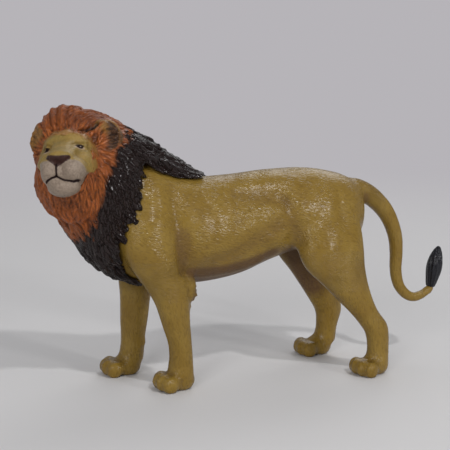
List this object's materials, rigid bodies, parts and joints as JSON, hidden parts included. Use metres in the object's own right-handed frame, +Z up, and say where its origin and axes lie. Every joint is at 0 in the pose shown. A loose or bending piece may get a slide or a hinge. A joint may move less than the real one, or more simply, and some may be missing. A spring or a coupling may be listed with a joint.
{
  "type": "toy animal figure",
  "caption": "Moulded plastic toy lion standing on all fours, head turned to its left, with a mane of raised locks and a tail that curls up to a dark tuft.",
  "frame": {"origin": "on the ground, under the middle of the bounding box", "axes": "-X the way the lion stands and faces, -Y to its left, +Z up from the ground"},
  "size_m": [0.1562, 0.0505, 0.0931],
  "materials": {
    "coat_ochre": "satin moulded fur",
    "mane_brown": "satin moulded hair",
    "tuft_black": "glossy moulded hair",
    "face_olive": "satin, with painted eyes, nose and mouth"
  },
  "bodies": {
    "root": {"face": "face_olive", "foreleg_left": "coat_ochre", "foreleg_right": "coat_ochre", "hind_leg_left": "coat_ochre", "hind_leg_right": "coat_ochre", "mane": "mane_brown", "tail": "coat_ochre", "tail_tuft": "tuft_black", "torso_left_half": "coat_ochre", "torso_right_half": "coat_ochre"}
  },
  "joints": []
}
